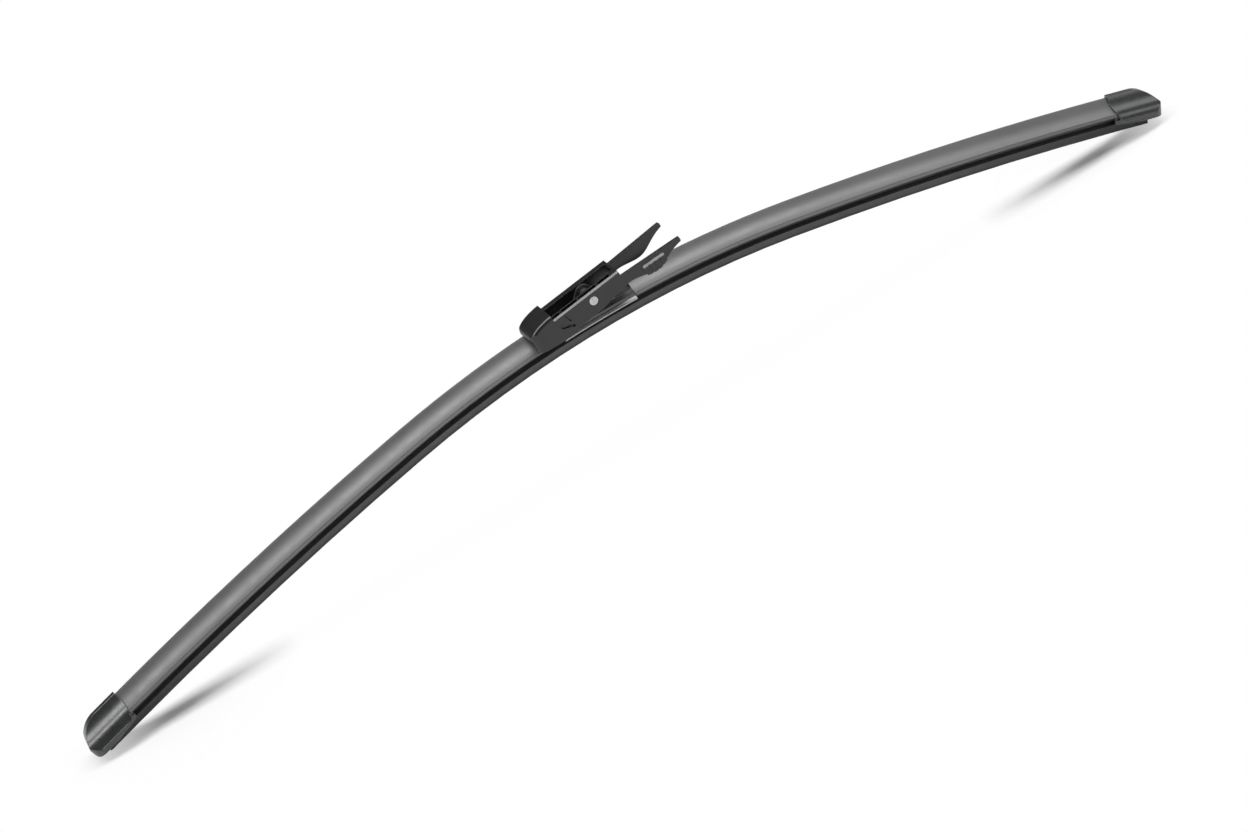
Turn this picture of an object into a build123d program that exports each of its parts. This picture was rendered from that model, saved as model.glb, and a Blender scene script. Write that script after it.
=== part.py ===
from build123d import *
import math
import os

# Flat wiper blade with a pinch-tab adaptor, in millimetres.
# The origin is on the pivot axis. +X runs along the blade towards the pinch tabs,
# +Y towards the steep side of the spoiler, and +Z away from the glass.

# Blade line
blade_half = 305.0
bow_radius = 556.0
bow_run = 105.0
flank_radius = 1890.0
pivot_height = 9.0

# Clearances
slip = 0.05
end_gap = 0.3
side_gap = 0.3

# Spring rails
rail_gauge = 0.9
rail_inner = 1.0
rail_outer = 5.0
rail_inset = 3.0

# Wiping rubber
rubber_inset = 5.5
head_half = 1.7
head_gauge = 0.65
web_half = 0.9
shoulder_half = 3.2
shoulder_gauge = 2.1
neck_half = 0.6
neck_drop = 0.5
neck_gauge = 1.2
wedge_half = 2.5
wedge_drop = 1.4
lip_half = 0.4
lip_gauge = 1.1
rubber_depth = 10.3

# Spoiler
claw_wall = 0.75
claw_gauge = 0.65
claw_lip = 2.2
spoiler_wall = 0.7
ridge_height = 6.75
ridge_offset = 3.3
ridge_flat = 1.2
ramp_rise = 0.55
ramp_hollow = 0.95
back_hollow = 0.4
bead_rise = 0.25
bead_reach = 0.8
bead_tuck = 0.05

# End caps
cap_length = 25.0
cap_wall = 1.2
cap_overlap = 8.0
cap_depth = 5.4
nose_length = 14.0
nose_base = -3.0
nose_corner = 5.5
nose_heel = 2.0
mouth_bulge = 1.0
ridge_round = 0.9
brow_round = 7.0
cheek_reach = 1.55
cheek_drop = 4.6
ledge_radius = 0.6
ledge_sides = 6
ledge_start = 1.8
ledge_run = 3.8
ledge_end = 20.3
corner_rise = 2.1
keel_mouth = 4.4
keel_run = 12.0

# Connector base
base_half = 19.6
base_gauge = 1.8
base_lip = 2.4
base_wall = 0.95
brow_rise = 0.7
flare_start = 0.6
flare_reach = 1.4
flare_drop = 1.0
flare_tuck = 0.2
ear_gauge = 1.6
ear_radius = 4.2
ear_foot = 11.0

# Pivot rivet
pin_radius = 2.4
pin_run = 0.05
pin_fit = 0.02
pin_recess = 0.1
pin_edge = 0.3

# Adaptor walls
adaptor_pitch = 7.6
adaptor_half = 9.7
rim_width = 5.0
skin = 2.1
rim_height = 4.6
rim_run = 1.2
rim_drop = 0.8
wall_end = 16.8
beam_drop = 1.9
boss_wall = 1.75
web_gauge = 1.2
skirt_foot = 7.3
skirt_toe = 5.9
skirt_curve = 3.5
boss_foot = 6.1
boss_back = 6.0
boss_front = 2.0
waist_foot = 4.4
waist_reach = 10.0
wall_curve = 3.0

# Rim pockets
pocket_width = 2.7
pocket_skin = 1.4
pocket_rib = 1.3
pocket_depth = 4.0
pocket_cover = 0.5
pocket_start = 20.3
pocket_lengths = (4.2, 8.7, 9.7, 6.4)

# Hood
hood_step = 20.5
hood_top = 7.0
hood_end = 34.7
hood_wall = 1.6
hood_cheek = 1.5
hood_corner = 5.0
hood_edge = 2.0
nose_gap = 0.3

# Pinch tabs
tab_length = 32.0
tab_gauge = 1.5
tab_splay = 6.0
tab_top = 1.85
tab_fall = 0.55
tab_root = 4.0
tab_waist = 3.6
tab_waist_reach = 4.0
tab_lobe = 6.0
tab_lobe_reach = 16.8
tab_taper = 3.4
tab_taper_reach = 24.0
tab_tip = 1.1
tab_round = 0.7
pad_start = 10.5
pad_end = 22.0
pad_drop = 2.2
pad_proud = 1.6
pad_run = 1.4
pad_fall = 1.0
grip_count = 3
grip_pitch = 2.8
grip_width = 0.8
grip_depth = 0.5
grip_drop = 1.0

# Latch slits in the walls
slit_depth = 1.0
slit_width = 0.6
slit_line = ((-15.1, 3.3), (-13.8, -1.0))
latch_width = 1.3
latch_line = ((-19.0, 0.8), (-17.8, -1.8), (-15.5, -2.5), (-13.6, -4.2))

# Values that follow from the sizes above
rail_gap = rail_gauge / 2 + slip
claw_half = rail_outer + slip + claw_wall
claw_foot = rail_gap + claw_gauge
claw_mouth = claw_half - claw_lip
head_top = rail_gap + head_gauge
base_outer = rail_outer + slip + base_wall
base_top = rail_gap + base_gauge
rim_inner = adaptor_half - rim_width
skin_inner = adaptor_half - skin
spoiler_gap = base_half + end_gap
flank_end = blade_half - cap_length - mouth_bulge


def bow_arc(distance):
    """Centre and radius of the arc that the rails follow at a distance from the pivot."""
    middle = Vector(0, 0, -pivot_height - bow_radius)
    if abs(distance) <= bow_run:
        return middle, bow_radius
    angle = math.copysign(bow_run / bow_radius, distance)
    normal = Vector(math.sin(angle), 0, math.cos(angle))
    return middle + normal * (bow_radius - flank_radius), flank_radius


def station(distance):
    """Plane across the blade at a distance along the rails. Local x is +Y, local y points off the glass."""
    bowed = max(-bow_run, min(bow_run, distance))
    curved = max(-flank_end, min(flank_end, distance))
    angle = bowed / bow_radius + (curved - bowed) / flank_radius
    tangent = Vector(math.cos(angle), 0, -math.sin(angle))
    normal = Vector(math.sin(angle), 0, math.cos(angle))
    centre, radius = bow_arc(distance)
    point = centre + normal * radius + tangent * (distance - curved)
    return Plane(origin=point, x_dir=(0, 1, 0), z_dir=tangent)


def along(section, start, end):
    """Carry a section along the blade: round the bow and the flatter flanks, then straight into the caps."""
    bends = [bend for bend in (-flank_end, -bow_run, bow_run, flank_end) if start < bend < end]
    stops = [start, *bends, end]
    pieces = []
    for near, far in zip(stops, stops[1:]):
        plane = station(near)
        face = plane * section
        middle = (near + far) / 2
        if abs(middle) < flank_end:
            centre, radius = bow_arc(middle)
            pieces.append(revolve(face, Axis(centre, (0, 1, 0)), math.degrees((far - near) / radius)))
        else:
            pieces.append(extrude(face, far - near, dir=plane.z_dir))
    body = pieces[0]
    for piece in pieces[1:]:
        body = body + piece
    return body


def block(low, high):
    """Box between two corners."""
    size = [b - a for a, b in zip(low, high)]
    return Pos(*low) * Box(*size, align=(Align.MIN, Align.MIN, Align.MIN))


def strip(half, low, high):
    """Rectangle across the blade, between two heights."""
    return Pos(0, (low + high) / 2) * Rectangle(2 * half, high - low)


def upright(outline, inner, outer):
    """Side outline in x and z, made solid between two distances from the middle on the front side."""
    return extrude(Plane.XZ.offset(inner) * outline, outer - inner)


def both_sides(front):
    """A front piece and its mirror image at the rear."""
    return front + mirror(front, Plane.XZ)


def rubber_section():
    shoulder = rail_gap + shoulder_gauge
    neck_top = shoulder + neck_drop
    neck_foot = neck_top + neck_gauge
    half = Polyline(
        (0, head_top),
        (head_half, head_top),
        (head_half, rail_gap),
        (web_half, rail_gap),
        (web_half, -rail_gap),
        (shoulder_half, -rail_gap),
        (shoulder_half, -shoulder),
        (neck_half, -neck_top),
        (neck_half, -neck_foot),
        (wedge_half, -neck_foot - wedge_drop),
        (lip_half, -rubber_depth + lip_gauge),
        (lip_half, -rubber_depth),
        (0, -rubber_depth),
        close=True,
    )
    side = make_face(half)
    return side + mirror(side, Plane.YZ)


def ramp_outline():
    """Claws, hollow front ramp, flat ridge and steep back."""
    ramp_foot = (-claw_half, ramp_rise)
    ridge_front = (ridge_offset - ridge_flat / 2, ridge_height)
    ridge_back = (ridge_offset + ridge_flat / 2, ridge_height)
    back_foot = (claw_half, bead_rise)
    edges = Polyline(
        back_foot,
        (claw_half, -claw_foot),
        (-claw_half, -claw_foot),
        ramp_foot,
    )
    edges += SagittaArc(ramp_foot, ridge_front, -ramp_hollow)
    edges += Line(ridge_front, ridge_back)
    edges += SagittaArc(ridge_back, back_foot, -back_hollow)
    return make_face(edges)


def spoiler_outline():
    """The ramp's outline with a sloping bead along the front claw, a small step below the ramp."""
    bead = Polyline(
        (-claw_half, bead_rise),
        (-claw_half - bead_reach, bead_rise - bead_reach),
        (-claw_half - bead_tuck, -claw_foot),
        (-claw_half, -claw_foot),
        close=True,
    )
    return ramp_outline() + make_face(bead)


def rail_slot():
    return strip(rail_outer + slip, -rail_gap, rail_gap)


def spoiler_section():
    hollow = offset(ramp_outline(), -spoiler_wall, kind=Kind.INTERSECTION)
    hollow &= strip(claw_half, rail_gap, ridge_height)
    head = strip(head_half + slip, 0, head_top + slip)
    mouth = strip(claw_mouth, -claw_foot, 0)
    return spoiler_outline() - hollow - head - rail_slot() - mouth


def cap_plan(front, rear):
    """Plan outline of a cap, with a bulged mouth and a rounded nose."""
    mouth = -cap_length
    edges = Polyline((mouth, rear), (0, rear), (0, -front), (mouth, -front))
    edges += ThreePointArc((mouth, -front), (mouth - mouth_bulge, (rear - front) / 2), (mouth, rear))
    plan = make_face(edges)
    return fillet(plan.vertices().group_by(Axis.X)[-1], nose_corner)


def cap_nose(top, back):
    """Side outline of a cap: level ridge, round nose and a heel under it."""
    heel = (0, nose_heel - cap_depth)
    toe = (-nose_heel, -cap_depth)
    edges = Polyline(toe, (back, -cap_depth), (back, top), (-nose_length, top))
    edges += EllipticalCenterArc((-nose_length, nose_base), nose_length, top - nose_base, arc_size=90)
    edges += Line((0, nose_base), heel)
    edges += RadiusArc(heel, toe, nose_heel)
    return make_face(edges)


def ledge_corner(low):
    """Side outline of what the swept ledge leaves open under the cheek at the mouth."""
    start = -cap_length - mouth_bulge
    high = low + corner_rise
    middle = (ledge_run - cap_length, high)
    turn = EllipticalCenterArc(middle, ledge_run, corner_rise, start_angle=180, arc_size=90)
    return Wire([turn, *Polyline(turn @ 1, (start, low), (start, high), turn @ 0).edges()])


def ledge_bead(brow, ledge):
    """Six-sided bead down the cheek's face at the mouth and along its lower edge to the nose."""
    down = Vector(0, ledge.X - brow.X, ledge.Y - brow.Y)
    normal = down.cross(Vector(1, 0, 0))
    face = Plane(origin=(0, brow.X, brow.Y), x_dir=(1, 0, 0), z_dir=normal)
    middle = (ledge_run - cap_length, -ledge_start)
    turn = EllipticalCenterArc(middle, ledge_run, down.length - ledge_start, start_angle=180, arc_size=90)
    path = face * Wire([turn, Line(turn @ 1, (ledge_end - cap_length, -down.length))])
    section = Plane(origin=path @ 0, z_dir=path % 0) * RegularPolygon(ledge_radius, ledge_sides)
    return sweep(section, path=path)


def end_cap():
    """Right-hand cap. Its tip is at x = 0 and its mouth faces -X."""
    wall = cap_wall + slip
    grown = offset(ramp_outline(), wall, kind=Kind.INTERSECTION)
    grown = fillet(grown.vertices().group_by(Axis.Y)[-1], ridge_round)
    brow = grown.vertices().group_by(Axis.X)[0].sort_by(Axis.Y)[-1]
    ledge = Vector(brow.X - cheek_reach, brow.Y - cheek_drop)
    front = -ledge.X
    rear = claw_half + wall
    top = ridge_height + wall
    back = -cap_length - mouth_bulge
    across = Plane.YZ.offset(back)

    cheek = Polyline((rear, 0), (brow.X, brow.Y), (ledge.X, ledge.Y), (rear, ledge.Y), close=True)
    profile = grown + make_face(cheek)
    profile = fillet(profile.vertices().sort_by_distance(brow.center())[0], brow_round)
    crown = extrude(across * profile, -back)
    plan = cap_plan(front, rear)
    crown &= extrude(plan, top, both=True)
    corner = make_face(ledge_corner(ledge.Y))
    crown -= upright(corner, keel_mouth, front)
    taper = Polyline((back, -front), (keel_run - cap_length, -front), (back, -keel_mouth), close=True)
    keel = extrude(plan - make_face(taper), cap_depth, both=True)
    keel &= block((back, -front, -cap_depth), (0, rear, ledge.Y))
    cap = crown + keel + ledge_bead(brow, ledge)
    cap &= extrude(Plane.XZ * cap_nose(top, back), front + ledge_radius, both=True)

    sleeve = offset(spoiler_outline(), slip, kind=Kind.INTERSECTION)
    cap -= extrude(across * sleeve, mouth_bulge + cap_overlap)
    cap -= extrude(across * rail_slot(), -back - rail_inset + slip)
    channel = strip(shoulder_half + slip, -cap_depth, -rail_gap)
    channel += strip(head_half + slip, -rail_gap, head_top + slip)
    cap -= extrude(across * channel, -back - rubber_inset + slip)
    return cap


def base_outline():
    """Saddle across the blade: sloped shoulders and a flared foot on both sides."""
    half = Polyline(
        (0, base_top),
        (base_outer + brow_rise - base_top, base_top),
        (base_outer, brow_rise),
        (base_outer, -flare_start),
        (base_outer + flare_reach, -flare_start - flare_drop),
        (base_outer + flare_reach - flare_tuck, -base_top),
        (0, -base_top),
        close=True,
    )
    side = make_face(half)
    return side + mirror(side, Plane.YZ)


def connector_base():
    """Pressed saddle crimped round both rails, with two upright ears for the pivot."""
    head = strip(head_half + slip, 0, head_top + slip)
    mouth = strip(base_outer - base_lip, -base_top, 0)
    saddle = along(base_outline() - rail_slot() - head - mouth, -base_half, base_half)

    foot = base_top - pivot_height
    round_top = Circle(ear_radius)
    seat = Pos(0, foot - base_gauge / 4) * Rectangle(2 * ear_foot, base_gauge / 2)
    ear = make_hull(round_top.edges() + seat.edges()) - Circle(pin_radius + pin_fit)
    ear_outer = rim_inner - side_gap
    return saddle + both_sides(upright(ear, ear_outer - ear_gauge, ear_outer))


def pivot_rivet():
    half = adaptor_half - pin_recess
    pin = extrude(Plane.XZ * Circle(pin_radius), half, both=True)
    return chamfer(pin.edges().filter_by(GeomType.CIRCLE), pin_edge)


def wall_outline():
    """Outer skin of one adaptor wall, from the hood to the root of the pinch tab."""
    outline = make_face(
        Polyline(
            (wall_end, rim_height),
            (-hood_step, rim_height),
            (-hood_step, -skirt_foot),
            (-boss_back, -boss_foot),
            (boss_front, -boss_foot),
            (waist_reach, -waist_foot),
            (wall_end, -tab_root),
            close=True,
        )
    )
    bends = outline.vertices().filter_by_position(Axis.X, -boss_back, waist_reach)
    return fillet(bends, wall_curve)


def rim_pockets():
    """Coring pockets in the front wall's rim. The one over the pivot stops short of the bore."""
    front = -adaptor_half + pocket_skin
    bore_top = pin_radius + pin_run + pocket_cover
    start = -pocket_start
    pockets = []
    for length in pocket_lengths:
        over_pivot = start < 0 < start + length
        floor = max(bore_top, rim_height - pocket_depth) if over_pivot else rim_height - pocket_depth
        pockets.append(block((start, front, floor), (start + length, front + pocket_width, rim_height)))
        start += length + pocket_rib
    return pockets


def latch_slits():
    """Wavy latch slot and the straight relief slit beside it, cut into the front wall's face."""
    cut = trace(Spline(*latch_line), latch_width) + trace(Line(*slit_line), slit_width)
    return upright(cut, adaptor_half - slit_depth, adaptor_half)


def pinch_tab():
    """Front tab, flat before it is splayed. Its root is at x = 0 on the wall's outer face."""
    tip = tab_length
    root = (-web_gauge, -tab_root)
    edge = Polyline((tip, -tab_tip), (tip, tab_top - tab_fall), (-web_gauge, tab_top), root)
    edge += Spline(
        root,
        (tab_waist_reach, -tab_waist),
        (tab_lobe_reach, -tab_lobe),
        (tab_taper_reach, -tab_taper),
        (tip, -tab_tip),
    )
    outline = make_face(edge)
    outline = fillet(outline.vertices().group_by(Axis.X)[-1], tab_round)
    tab = upright(outline, -tab_gauge, 0)

    pad_top = tab_top - pad_drop
    pad_middle = (pad_start + pad_end) / 2
    reach = Pos(pad_middle, pad_top - tab_lobe) * Rectangle(pad_end - pad_start, 2 * tab_lobe)
    pad = upright(outline & reach, -tab_gauge / 2, pad_proud)
    brim = pad.edges().filter_by(Axis.X).group_by(Axis.Z)[-1].sort_by(Axis.Y)[0]
    level = pad.faces().filter_by(Axis.Z).sort_by(Axis.Z)[-1]
    tab += chamfer(brim, pad_run, pad_fall, reference=level)
    for index in range(grip_count):
        x = pad_middle + (index - (grip_count - 1) / 2) * grip_pitch - grip_width / 2
        low = (x, -pad_proud, pad_top - 2 * tab_lobe)
        tab -= block(low, (x + grip_width, grip_depth - pad_proud, pad_top - grip_drop))
    return tab


def crown_outline(inset):
    """Side outline of the hood above its cheek line, drawn in by an inset."""
    corner = (-hood_step, hood_cheek)
    length = hood_end - hood_step - inset
    height = hood_top - hood_cheek - inset
    back = EllipticalCenterArc(corner, length, height, start_angle=90, arc_size=90)
    return make_face([Line(corner, back @ 0), back, Line(back @ 1, corner)])


def skirt_outline():
    """Side outline of the hood below its cheek line."""
    heel = (-hood_end, -skirt_toe + skirt_curve)
    toe = (-hood_end + skirt_curve, -skirt_toe)
    edges = Polyline(toe, (-hood_step, -skirt_foot), (-hood_step, hood_cheek), (-hood_end, hood_cheek), heel)
    edges += RadiusArc(heel, toe, -skirt_curve)
    return make_face(edges)


def hood_plan(half, end, corner):
    """Plan outline of the hood, rounded at the nose."""
    corners = ((-hood_step, half), (-end, half), (-end, -half), (-hood_step, -half))
    plan = make_face(Polyline(*corners, close=True))
    return fillet(plan.vertices().group_by(Axis.X)[0], corner)


def hood():
    """Hollow hood that bridges the walls, with a skirt down both sides."""
    tall = hood_top + skirt_foot
    crown = extrude(Plane.XZ * crown_outline(0), adaptor_half, both=True)
    rounds = crown.edges().filter_by(GeomType.ELLIPSE)
    sides = rounds.filter_by(lambda edge: abs(edge.center().Y) > skin_inner)
    shell = fillet(sides, hood_edge) + extrude(Plane.XZ * skirt_outline(), adaptor_half, both=True)
    shell &= extrude(hood_plan(adaptor_half, hood_end, hood_corner), tall, both=True)
    room = extrude(Plane.XZ * crown_outline(hood_wall), skin_inner, both=True)
    room += block((hood_wall - hood_end, -skin_inner, -tall), (-hood_step, skin_inner, hood_cheek))
    room &= extrude(hood_plan(skin_inner, hood_end - hood_wall, hood_corner - hood_wall), tall, both=True)
    return shell - room


def adaptor():
    """One moulding of two walls, hood and pinch tabs, tipped nose down on to the spoiler ridge."""
    beam = Pos((wall_end - hood_step) / 2, (rim_height - beam_drop) / 2)
    beam *= Rectangle(wall_end + hood_step, rim_height + beam_drop)
    bore = Circle(pin_radius + pin_run)
    boss = Circle(pin_radius + pin_run + boss_wall)
    wall = upright(wall_outline(), skin_inner, adaptor_half) + upright(beam + boss, rim_inner, adaptor_half)
    rim = wall.edges().filter_by(Axis.X).group_by(Axis.Z)[-1].sort_by(Axis.Y)[0]
    rim_top = wall.faces().filter_by(Axis.Z).sort_by(Axis.Z)[-1]
    wall = chamfer(rim, rim_run, rim_drop, reference=rim_top) - latch_slits()
    wall += Pos(wall_end, -adaptor_half, 0) * Rot(0, 0, -tab_splay) * pinch_tab()
    body = both_sides(wall) + hood()
    body += block((wall_end - web_gauge, -rim_inner, -beam_drop), (wall_end, rim_inner, rim_height))
    for pocket in rim_pockets():
        body -= pocket
    body -= extrude(Plane.XZ * bore, adaptor_half, both=True)
    body = Rot(0, -adaptor_pitch, 0) * body

    under_nose = station(-hood_end + hood_wall)
    ridge_level = (under_nose.origin + under_nose.y_dir * ridge_height).Z
    low = (-2 * hood_end, -skin_inner, -pivot_height - rubber_depth)
    return body - block(low, (-hood_step, skin_inner, ridge_level + nose_gap))


def at_end(distance, cap):
    """Set a cap on the blade's end, its x axis along the rails."""
    plane = station(distance)
    return Plane(origin=plane.origin, x_dir=plane.z_dir, z_dir=plane.y_dir).location * cap


rail = Pos((rail_inner + rail_outer) / 2, 0) * Rectangle(rail_outer - rail_inner, rail_gauge)
rail_end = blade_half - rail_inset
rubber_end = blade_half - rubber_inset
spoiler_end = blade_half - cap_length + cap_overlap - end_gap
right_cap = end_cap()

parts = {
    "wiper_rubber": along(rubber_section(), -rubber_end, rubber_end),
    "spring_rail_front": along(mirror(rail, Plane.YZ), -rail_end, rail_end),
    "spring_rail_rear": along(rail, -rail_end, rail_end),
    "spoiler_left": along(spoiler_section(), -spoiler_end, -spoiler_gap),
    "spoiler_right": along(spoiler_section(), spoiler_gap, spoiler_end),
    "end_cap_left": at_end(-blade_half, mirror(right_cap, Plane.YZ)),
    "end_cap_right": at_end(blade_half, right_cap),
    "connector_base": connector_base(),
    "pivot_rivet": pivot_rivet(),
    "adaptor": adaptor(),
}

os.makedirs("parts", exist_ok=True)
for name, part in parts.items():
    export_step(part, f"parts/{name}.step")
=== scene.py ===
import math

import bpy
from mathutils import Matrix, Vector


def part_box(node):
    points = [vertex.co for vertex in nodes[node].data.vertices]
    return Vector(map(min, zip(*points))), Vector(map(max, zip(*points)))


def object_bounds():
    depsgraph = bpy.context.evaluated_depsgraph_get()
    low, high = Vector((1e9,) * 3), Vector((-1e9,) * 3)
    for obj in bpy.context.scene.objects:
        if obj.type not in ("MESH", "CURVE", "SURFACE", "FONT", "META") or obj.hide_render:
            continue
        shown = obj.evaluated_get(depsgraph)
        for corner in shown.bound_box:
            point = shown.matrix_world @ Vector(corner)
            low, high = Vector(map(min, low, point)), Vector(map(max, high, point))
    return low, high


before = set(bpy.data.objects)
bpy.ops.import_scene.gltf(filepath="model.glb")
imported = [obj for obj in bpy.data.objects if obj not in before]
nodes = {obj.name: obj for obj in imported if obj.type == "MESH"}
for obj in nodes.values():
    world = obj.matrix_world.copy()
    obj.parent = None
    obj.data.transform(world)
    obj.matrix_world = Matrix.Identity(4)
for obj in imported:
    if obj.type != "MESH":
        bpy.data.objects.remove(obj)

cad_low, cad_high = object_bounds()
floor_level = cad_low.z
scene = bpy.context.scene
scene.view_settings.view_transform = "Standard"

# Picture and camera, found from the photograph's edges and the line of the bow
picture_width = 1248
picture_height = 832
camera_azimuth = math.radians(-10.95)
camera_elevation = math.radians(27.44)
camera_roll = math.radians(26.03)
focal_pixels = 2710.6
sensor_width = 36.0
rivet_face = Vector((0.0, -0.0097, 0.0))
rivet_pixel = (594.0, 301.0)
rivet_distance = 1.240

# Floor: its paper, and how far from the blade it keeps a shadow before it clears to white
floor_half = 40.0
floor_white = 0.90
floor_mottle = 0.01
floor_mottle_scale = 3.0
floor_roughness = 0.9
floor_shine = 0.1
shadow_inset = 0.038
shadow_near = 0.006
shadow_far = 0.064
shadow_lift = 0.10
shadow_least = 0.02
white_near = 0.30
white_far = 0.55

# Lights: sizes and places in metres, power in watts
world_grey = 0.085
softbox_size = (2.66, 0.64)
softbox_place = (-0.09, 0.0, 1.5)
softbox_turn = (0.0, 0.0, 0.0)
softbox_power = 33.0
side_size = (1.3, 1.3)
side_place = (1.75, 0.75, 1.35)
side_turn = (math.radians(54.7), 0.0, math.radians(113.1))
side_power = 8.5
front_size = (1.0, 1.0)
front_place = (2.05, -2.0, 1.5)
front_turn = (math.radians(62.4), 0.0, math.radians(45.7))
front_power = 9.0

# Rounded edges, and the wear on them
bevel_samples = 6
worn_edge = (0.80, 0.995)
plastic_wear = 2.0
coat_wear = 2.2

# Plastic: scales are in cells per metre, depths in metres
cloud_scale = 90.0
spark_scale = 5200.0
spark_detail = 2.0
spark_depth = 0.000004
plastic_gloss_scale = 340.0
wall_facing = (0.96, 0.98)
# Chamfers whose rounded normal has this part along Y get a painted highlight, broken in patches like scuffs
chamfer_facing = 0.56
chamfer_spread = (0.07, 0.14)
scuff_and_highlight_scale = 700.0
scuff_and_highlight_least = 0.6

# Rubber
line_stretch = (0.02, 1.0, 1.0)
line_scale = 2600.0
line_detail = 2.0
line_depth = 0.000006
bloom_stretch = (0.35, 1.0, 1.0)
bloom_scale = 60.0
dust_scale = 75.0
dust_reach = 0.028
rubber_gloss_scale = 220.0

# Metal. The ring rate is the wave texture's own turn in radians per metre at a scale of one
brush_stretch = (0.02, 1.0, 1.0)
brush_scale = 3000.0
brush_detail = 4.0
brush_depth = 0.000008
ring_pitch = 0.00035
ring_rate = 20.0
ring_wobble = 1.2
ring_detail = 2.0
ring_depth = 0.000012
stain_scale = 900.0
peel_scale = 1100.0
peel_detail = 1.0
peel_depth = 0.000005
coat_cloud_scale = 120.0
coat_gloss_scale = 300.0
# Reach from the middle, in metres, of the painted highlight band on the saddle's flared foot
foot_reach = (0.0061, 0.0065)

# The mix node's colour sockets, which share their names with its other ones
mix_first = 6
mix_second = 7
mix_result = 2


def node_tree(name):
    """A new material with a principled shader, its tree and the shader."""
    material = bpy.data.materials.new(name)
    material.use_nodes = True
    tree = material.node_tree
    return material, tree, tree.nodes["Principled BSDF"]


def add(tree, kind, **inputs):
    """A new node of a kind, with its inputs set by name."""
    node = tree.nodes.new(kind)
    for key, value in inputs.items():
        node.inputs[key].default_value = value
    return node


def place(tree, stretch=(1.0, 1.0, 1.0)):
    """The row frame's coordinates in metres, stretched along each axis."""
    source = add(tree, "ShaderNodeTexCoord")
    mapping = add(tree, "ShaderNodeMapping", Scale=stretch)
    tree.links.new(source.outputs["Object"], mapping.inputs["Vector"])
    return mapping.outputs["Vector"]


def noise(tree, where, scale, detail=3.0, roughness=0.55):
    """A noise texture's value, at a scale in cells per metre."""
    node = add(tree, "ShaderNodeTexNoise", Scale=scale, Detail=detail, Roughness=roughness)
    tree.links.new(where, node.inputs["Vector"])
    return node.outputs["Fac"]


def spread(tree, value, low, high, start=0.3, end=0.7):
    """A value between start and end, mapped to the range from low to high."""
    node = tree.nodes.new("ShaderNodeMapRange")
    node.inputs["From Min"].default_value = start
    node.inputs["From Max"].default_value = end
    node.inputs["To Min"].default_value = low
    node.inputs["To Max"].default_value = high
    tree.links.new(value, node.inputs["Value"])
    return node.outputs["Result"]


def calculate(tree, operation, *values):
    """The result of an operation on one or two sockets or numbers."""
    node = tree.nodes.new("ShaderNodeMath")
    node.operation = operation
    for socket, value in zip(node.inputs, values):
        if isinstance(value, float):
            socket.default_value = value
        else:
            tree.links.new(value, socket)
    return node.outputs["Value"]


def part_of(tree, vector, axis):
    """A vector's part along one axis."""
    node = add(tree, "ShaderNodeSeparateXYZ")
    tree.links.new(vector, node.inputs["Vector"])
    return node.outputs[axis]


def blend(tree, factor, first, second):
    """A colour mixed from two colours or sockets by a factor."""
    node = tree.nodes.new("ShaderNodeMix")
    node.data_type = "RGBA"
    tree.links.new(factor, node.inputs["Factor"])
    for socket, colour in ((node.inputs[mix_first], first), (node.inputs[mix_second], second)):
        if isinstance(colour, tuple):
            socket.default_value = (*colour, 1.0)
        else:
            tree.links.new(colour, socket)
    return node.outputs[mix_result]


def grain(tree, shader, height, depth, edge):
    """Bump of a depth in metres over edges that look rounded to a radius, and the rounded normal."""
    rounded = add(tree, "ShaderNodeBevel", Radius=edge)
    rounded.samples = bevel_samples
    bump = add(tree, "ShaderNodeBump", Strength=1.0, Distance=depth)
    tree.links.new(height, bump.inputs["Height"])
    tree.links.new(rounded.outputs["Normal"], bump.inputs["Normal"])
    tree.links.new(bump.outputs["Normal"], shader.inputs["Normal"])
    return rounded.outputs["Normal"]


def edge_mask(tree, rounded):
    """One on rounded edges and zero on flats, for wear."""
    geometry = add(tree, "ShaderNodeNewGeometry")
    dot = tree.nodes.new("ShaderNodeVectorMath")
    dot.operation = "DOT_PRODUCT"
    tree.links.new(geometry.outputs["Normal"], dot.inputs[0])
    tree.links.new(rounded, dot.inputs[1])
    return spread(tree, dot.outputs["Value"], 1.0, 0.0, *worn_edge)


def paler(colour, gain):
    """A colour made lighter by a gain."""
    return tuple(gain * part for part in colour)


def moulded_plastic(name, dark, light, low_rough, high_rough, edge, index, wall_rough, scuff_and_highlight):
    """Satin black moulding: spark grain, cloudy gloss, paler worn edges, a painted highlight in patches on
    chamfers facing a set way, duller walls.
    """
    material, tree, shader = node_tree(name)
    shader.inputs["IOR"].default_value = index
    where = place(tree)
    cloud = noise(tree, where, cloud_scale)
    spark = noise(tree, where, spark_scale, spark_detail)
    rounded = grain(tree, shader, spark, spark_depth, edge)
    facing = calculate(tree, "ABSOLUTE", part_of(tree, rounded, "Y"))
    tone = blend(tree, spread(tree, cloud, 0.0, 1.0), dark, light)
    worn = blend(tree, edge_mask(tree, rounded), tone, paler(light, plastic_wear))
    if scuff_and_highlight:
        # Painted highlight on chamfers facing a set way, broken in patches like scuffs; worn then holds
        # wear and this painted highlight
        slope = calculate(tree, "ABSOLUTE", calculate(tree, "SUBTRACT", facing, chamfer_facing))
        patchy = spread(tree, noise(tree, where, scuff_and_highlight_scale), scuff_and_highlight_least, 1.0)
        rubbed_and_highlit = calculate(tree, "MULTIPLY", spread(tree, slope, 1.0, 0.0, *chamfer_spread), patchy)
        worn = blend(tree, rubbed_and_highlit, worn, scuff_and_highlight)
    tree.links.new(worn, shader.inputs["Base Color"])
    gloss = spread(tree, noise(tree, where, plastic_gloss_scale), low_rough, high_rough)
    duller = calculate(tree, "ADD", gloss, spread(tree, facing, 0.0, wall_rough, *wall_facing))
    tree.links.new(duller, shader.inputs["Roughness"])
    return material


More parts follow.
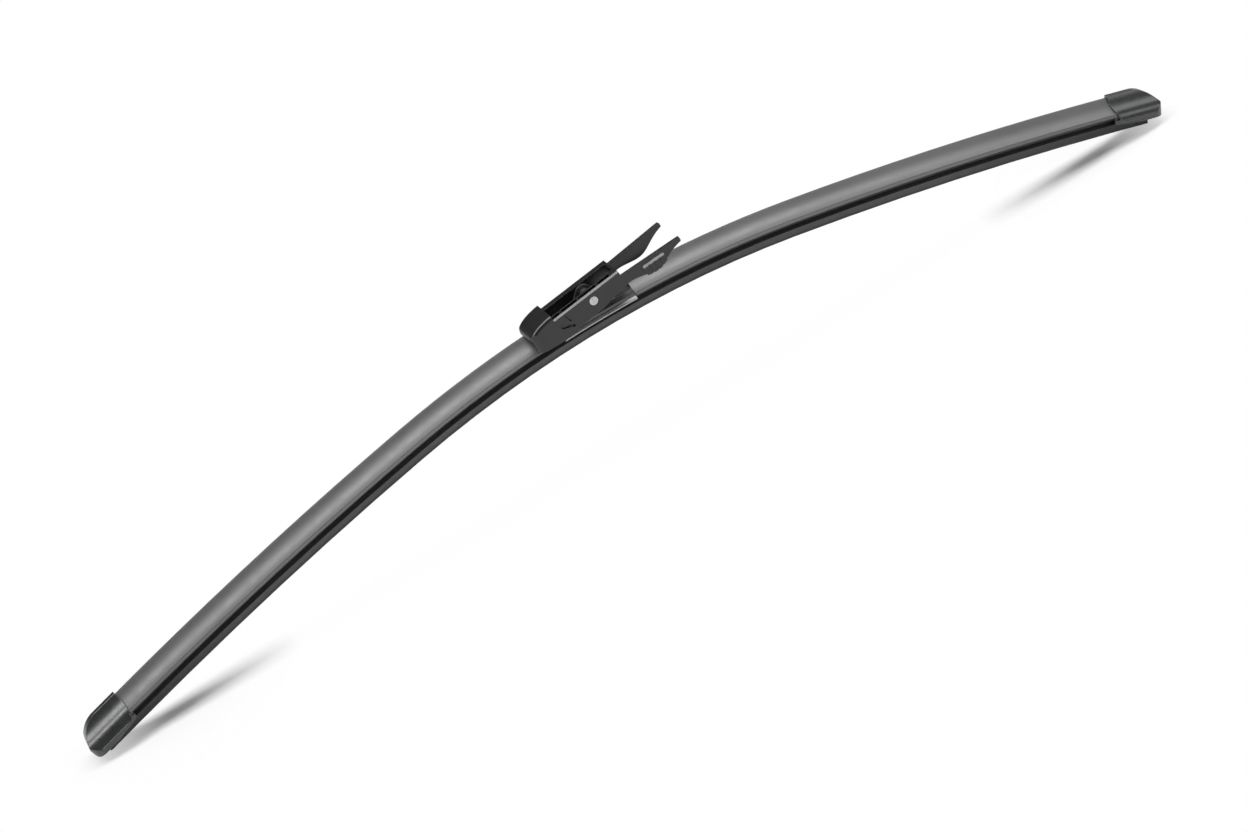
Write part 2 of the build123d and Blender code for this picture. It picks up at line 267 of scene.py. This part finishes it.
def extruded_rubber(name, dark, light, low_rough, high_rough, edge, index, speck):
    """Extruded black rubber: faint lines along its run, cloudy bloom and a few pale specks."""
    material, tree, shader = node_tree(name)
    shader.inputs["IOR"].default_value = index
    where = place(tree)
    lines = noise(tree, place(tree, line_stretch), line_scale, line_detail)
    bloom = noise(tree, place(tree, bloom_stretch), bloom_scale)
    grain(tree, shader, lines, line_depth, edge)
    tone = blend(tree, spread(tree, bloom, 0.0, 1.0), dark, light)
    dust = add(tree, "ShaderNodeTexVoronoi", Scale=dust_scale)
    tree.links.new(where, dust.inputs["Vector"])
    spot = spread(tree, dust.outputs["Distance"], 1.0, 0.0, 0.0, dust_reach)
    tree.links.new(blend(tree, spot, tone, speck), shader.inputs["Base Color"])
    gloss = spread(tree, noise(tree, where, rubber_gloss_scale), low_rough, high_rough)
    tree.links.new(gloss, shader.inputs["Roughness"])
    return material


def brushed_metal(name, dark, light, low_rough, high_rough, edge):
    """Bare steel with a brushed line along the blade."""
    material, tree, shader = node_tree(name)
    shader.inputs["Metallic"].default_value = 1.0
    lines = noise(tree, place(tree, brush_stretch), brush_scale, brush_detail)
    grain(tree, shader, lines, brush_depth, edge)
    tone = blend(tree, spread(tree, lines, 0.0, 1.0), dark, light)
    tree.links.new(tone, shader.inputs["Base Color"])
    tree.links.new(spread(tree, lines, low_rough, high_rough), shader.inputs["Roughness"])
    return material


def turned_metal(name, dark, light, low_rough, high_rough, edge):
    """Rivet steel with turned rings round the Y axis."""
    material, tree, shader = node_tree(name)
    shader.inputs["Metallic"].default_value = 1.0
    where = place(tree)
    ring_scale = math.tau / (ring_rate * ring_pitch)
    rings = add(tree, "ShaderNodeTexWave", Scale=ring_scale, Distortion=ring_wobble, Detail=ring_detail)
    rings.wave_type = "RINGS"
    rings.rings_direction = "Y"
    tree.links.new(where, rings.inputs["Vector"])
    stain = noise(tree, where, stain_scale)
    grain(tree, shader, rings.outputs["Fac"], ring_depth, edge)
    tone = blend(tree, spread(tree, stain, 0.0, 1.0), dark, light)
    tree.links.new(tone, shader.inputs["Base Color"])
    tree.links.new(spread(tree, stain, low_rough, high_rough), shader.inputs["Roughness"])
    return material


def coated_metal(name, dark, light, low_rough, high_rough, edge, shine, bare_and_highlight):
    """Satin black coat on a pressing, with a faint orange peel, and a painted highlight on its flared foot,
    coloured as the coat rubbed through to bare steel.
    """
    material, tree, shader = node_tree(name)
    shader.inputs["Specular IOR Level"].default_value = shine
    where = place(tree)
    peel = noise(tree, where, peel_scale, peel_detail)
    rounded = grain(tree, shader, peel, peel_depth, edge)
    tone = blend(tree, spread(tree, noise(tree, where, coat_cloud_scale), 0.0, 1.0), dark, light)
    worn = blend(tree, edge_mask(tree, rounded), tone, paler(light, coat_wear))
    # Painted highlight on the flared foot: a band by distance from the middle, coloured as coat rubbed
    # through to bare steel
    side = calculate(tree, "ABSOLUTE", part_of(tree, where, "Y"))
    rubbed_and_highlit = blend(tree, spread(tree, side, 0.0, 1.0, *foot_reach), worn, bare_and_highlight)
    tree.links.new(rubbed_and_highlit, shader.inputs["Base Color"])
    gloss = spread(tree, noise(tree, where, coat_gloss_scale), low_rough, high_rough)
    tree.links.new(gloss, shader.inputs["Roughness"])
    return material


def distance_to(tree, points):
    """How far a place on the floor is from the nearest of the points."""
    source = add(tree, "ShaderNodeTexCoord")
    gaps = []
    for point in points:
        gap = tree.nodes.new("ShaderNodeVectorMath")
        gap.operation = "DISTANCE"
        gap.inputs[1].default_value = point
        tree.links.new(source.outputs["Object"], gap.inputs[0])
        gaps.append(gap.outputs["Value"])
    nearest = gaps[0]
    for other in gaps[1:]:
        nearest = calculate(tree, "MINIMUM", nearest, other)
    return nearest


def mix_shaders(tree, share, first, second, output):
    """The tree's output as a mix of two shaders."""
    mixed = tree.nodes.new("ShaderNodeMixShader")
    for socket, source in zip(mixed.inputs, (share, first, second)):
        tree.links.new(source, socket)
    tree.links.new(mixed.outputs["Shader"], tree.nodes[output].inputs["Surface"])


def floor_paper():
    """White paper that keeps the shadow near the lip's ends and clears to the white backdrop elsewhere."""
    material, tree, shader = node_tree("floor_paper")
    mottle = noise(tree, place(tree), floor_mottle_scale)
    tone = spread(tree, mottle, floor_white - floor_mottle, floor_white)
    tree.links.new(tone, shader.inputs["Base Color"])
    shader.inputs["Roughness"].default_value = floor_roughness
    shader.inputs["Specular IOR Level"].default_value = floor_shine
    lip_low, lip_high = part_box("wiper_rubber")
    ends = [(x, 0.0, floor_level) for x in (lip_low.x + shadow_inset, lip_high.x - shadow_inset)]
    from_ends = distance_to(tree, ends)
    from_middle = distance_to(tree, [(0.0, 0.0, floor_level)])
    fading = spread(tree, from_ends, shadow_lift, 1.0 - shadow_least, shadow_near, shadow_far)
    white = calculate(tree, "MAXIMUM", fading, spread(tree, from_middle, 0.0, 1.0, white_near, white_far))
    path = add(tree, "ShaderNodeLightPath").outputs
    mirrored = calculate(tree, "MAXIMUM", path["Is Glossy Ray"], path["Is Transmission Ray"])
    seen = calculate(tree, "MAXIMUM", path["Is Camera Ray"], mirrored)
    share = calculate(tree, "MULTIPLY", white, seen)
    clear = add(tree, "ShaderNodeBsdfTransparent")
    mix_shaders(tree, share, shader.outputs["BSDF"], clear.outputs["BSDF"], "Material Output")
    return material


def white_room():
    """A dim room that is plain white to the camera, and below the horizon in reflections."""
    room = bpy.data.worlds.new("room")
    room.use_nodes = True
    tree = room.node_tree
    dim = tree.nodes["Background"]
    dim.inputs["Color"].default_value = (world_grey, world_grey, world_grey, 1.0)
    white = add(tree, "ShaderNodeBackground", Color=(1.0, 1.0, 1.0, 1.0), Strength=1.0)
    source = add(tree, "ShaderNodeTexCoord")
    below = calculate(tree, "LESS_THAN", part_of(tree, source.outputs["Generated"], "Z"), 0.0)
    path = add(tree, "ShaderNodeLightPath").outputs
    mirrored = calculate(tree, "MAXIMUM", path["Is Glossy Ray"], path["Is Transmission Ray"])
    seen = calculate(tree, "MAXIMUM", path["Is Camera Ray"], calculate(tree, "MULTIPLY", mirrored, below))
    mix_shaders(tree, seen, dim.outputs["Background"], white.outputs["Background"], "World Output")
    return room


def soft_light(name, size, position, turn, power):
    """A rectangular area light."""
    lamp = bpy.data.lights.new(name, "AREA")
    lamp.shape = "RECTANGLE"
    lamp.size, lamp.size_y = size
    lamp.energy = power
    light = bpy.data.objects.new(name, lamp)
    light.location = position
    light.rotation_euler = turn
    scene.collection.objects.link(light)


# Materials
wiping = extruded_rubber(
    "wiping_rubber",
    dark=(0.044, 0.044, 0.044),
    light=(0.055, 0.055, 0.055),
    low_rough=0.50,
    high_rough=0.62,
    edge=0.0002,
    index=1.46,
    speck=(0.18, 0.18, 0.18),
)
spoiler = extruded_rubber(
    "spoiler_rubber",
    dark=(0.092, 0.094, 0.092),
    light=(0.108, 0.110, 0.108),
    low_rough=0.40,
    high_rough=0.48,
    edge=0.0003,
    index=1.82,
    speck=(0.20, 0.20, 0.20),
)
cap_plastic = moulded_plastic(
    "cap_plastic",
    dark=(0.024, 0.0265, 0.0255),
    light=(0.032, 0.035, 0.034),
    low_rough=0.26,
    high_rough=0.33,
    edge=0.0005,
    index=1.73,
    wall_rough=0.18,
    scuff_and_highlight=None,
)
adaptor_plastic = moulded_plastic(
    "adaptor_plastic",
    dark=(0.010, 0.010, 0.010),
    light=(0.016, 0.016, 0.016),
    low_rough=0.28,
    high_rough=0.36,
    edge=0.0004,
    index=1.57,
    wall_rough=0.0,
    # Pale colour of the painted highlight on the chamfers
    scuff_and_highlight=(0.14, 0.14, 0.14),
)
coat = coated_metal(
    "saddle_coat",
    dark=(0.034, 0.037, 0.036),
    light=(0.044, 0.047, 0.046),
    low_rough=0.26,
    high_rough=0.36,
    edge=0.0003,
    shine=1.0,
    # Pale colour of the painted highlight on the flared foot, as bare steel
    bare_and_highlight=(0.40, 0.41, 0.40),
)
rail_steel = brushed_metal(
    "rail_steel",
    dark=(0.30, 0.30, 0.31),
    light=(0.40, 0.40, 0.41),
    low_rough=0.26,
    high_rough=0.42,
    edge=0.0001,
)
rivet_steel = turned_metal(
    "rivet_steel",
    dark=(0.46, 0.46, 0.45),
    light=(0.60, 0.60, 0.59),
    low_rough=0.30,
    high_rough=0.42,
    edge=0.0002,
)
looks = {
    "wiper_rubber": wiping,
    "spring_rail_front": rail_steel,
    "spring_rail_rear": rail_steel,
    "spoiler_left": spoiler,
    "spoiler_right": spoiler,
    "end_cap_left": cap_plastic,
    "end_cap_right": cap_plastic,
    "connector_base": coat,
    "pivot_rivet": rivet_steel,
    "adaptor": adaptor_plastic,
}
for node_name, material in looks.items():
    for material_slot in nodes[node_name].material_slots:
        material_slot.material = material

# Floor under the ends of the lip. It casts no shadow, so a pose that dips below it stays lit
corner_signs = ((-1, -1), (1, -1), (1, 1), (-1, 1))
floor_corners = [(floor_half * x, floor_half * y, floor_level) for x, y in corner_signs]
floor_mesh = bpy.data.meshes.new("floor")
floor_mesh.from_pydata(floor_corners, [], [(0, 1, 2, 3)])
floor = bpy.data.objects.new("floor", floor_mesh)
floor.visible_shadow = False
scene.collection.objects.link(floor)
floor.data.materials.append(floor_paper())

# Overhead softbox, faint fills behind and in front on the right, and a dim room
soft_light("softbox", softbox_size, softbox_place, softbox_turn, softbox_power)
soft_light("side_fill", side_size, side_place, side_turn, side_power)
soft_light("front_fill", front_size, front_place, front_turn, front_power)
scene.world = white_room()

# Camera: turned, tipped and rolled, with the rivet's face at its pixel
right = Vector((math.cos(camera_azimuth), math.sin(camera_azimuth), 0.0))
ahead = Vector((-math.sin(camera_azimuth) * math.cos(camera_elevation),
                math.cos(camera_azimuth) * math.cos(camera_elevation),
                -math.sin(camera_elevation)))
upward = right.cross(ahead)
axis_x = math.cos(camera_roll) * right - math.sin(camera_roll) * upward
axis_y = math.sin(camera_roll) * right + math.cos(camera_roll) * upward
across = (rivet_pixel[0] - picture_width / 2) / focal_pixels
down = (rivet_pixel[1] - picture_height / 2) / focal_pixels
ray = across * axis_x - down * axis_y + ahead
stand = rivet_face - rivet_distance * ray.normalized()
lens = bpy.data.cameras.new("camera")
lens.sensor_fit = "HORIZONTAL"
lens.sensor_width = sensor_width
lens.lens = focal_pixels * sensor_width / picture_width
camera = bpy.data.objects.new("camera", lens)
camera.matrix_world = Matrix.Translation(stand) @ Matrix((axis_x, axis_y, -ahead)).transposed().to_4x4()
scene.collection.objects.link(camera)
scene.camera = camera
